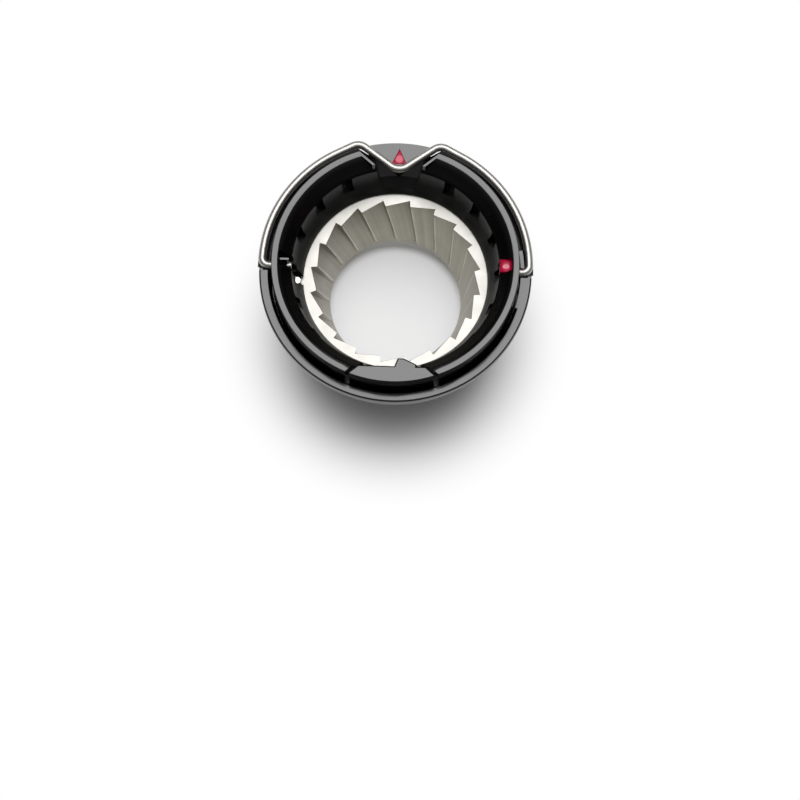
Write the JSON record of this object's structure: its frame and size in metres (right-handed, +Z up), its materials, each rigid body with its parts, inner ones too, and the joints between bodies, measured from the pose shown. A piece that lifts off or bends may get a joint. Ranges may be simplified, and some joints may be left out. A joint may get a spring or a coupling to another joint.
{
  "type": "coffee grinder burr",
  "caption": "Upper burr of a coffee grinder: a toothed steel ring held in a black plastic carrier, with an outer collar and a wire handle that swings up to lift it out.",
  "frame": {"origin": "on the burr's axis, at the lower face that the part stands on", "axes": "+Z up along the burr's axis, X along the handle's pivot, -Y the front with the catch"},
  "size_m": [0.0702, 0.0696, 0.039],
  "materials": {
    "burr_steel": "hardened steel, ground face and milled teeth",
    "carrier_plastic": "moulded black, semi-gloss",
    "collar_plastic": "moulded black, semi-gloss",
    "handle_wire": "drawn stainless wire",
    "red_mark": "moulded red, glossy",
    "pin_steel": "bright steel pin"
  },
  "bodies": {
    "root": {"ring_burr": "burr_steel", "burr_carrier": "carrier_plastic", "outer_collar": "collar_plastic", "arrow_mark": "red_mark", "setting_tile": "red_mark", "locating_pin": "pin_steel"},
    "handle": {"wire_handle": "handle_wire"}
  },
  "joints": [
    {"name": "handle_hinge", "type": "hinge", "parent": "root", "child": "handle", "pos_m": [0, 0.0005, 0.0326], "axis": [1, 0, 0], "range_deg": [0, 120]}
  ]
}
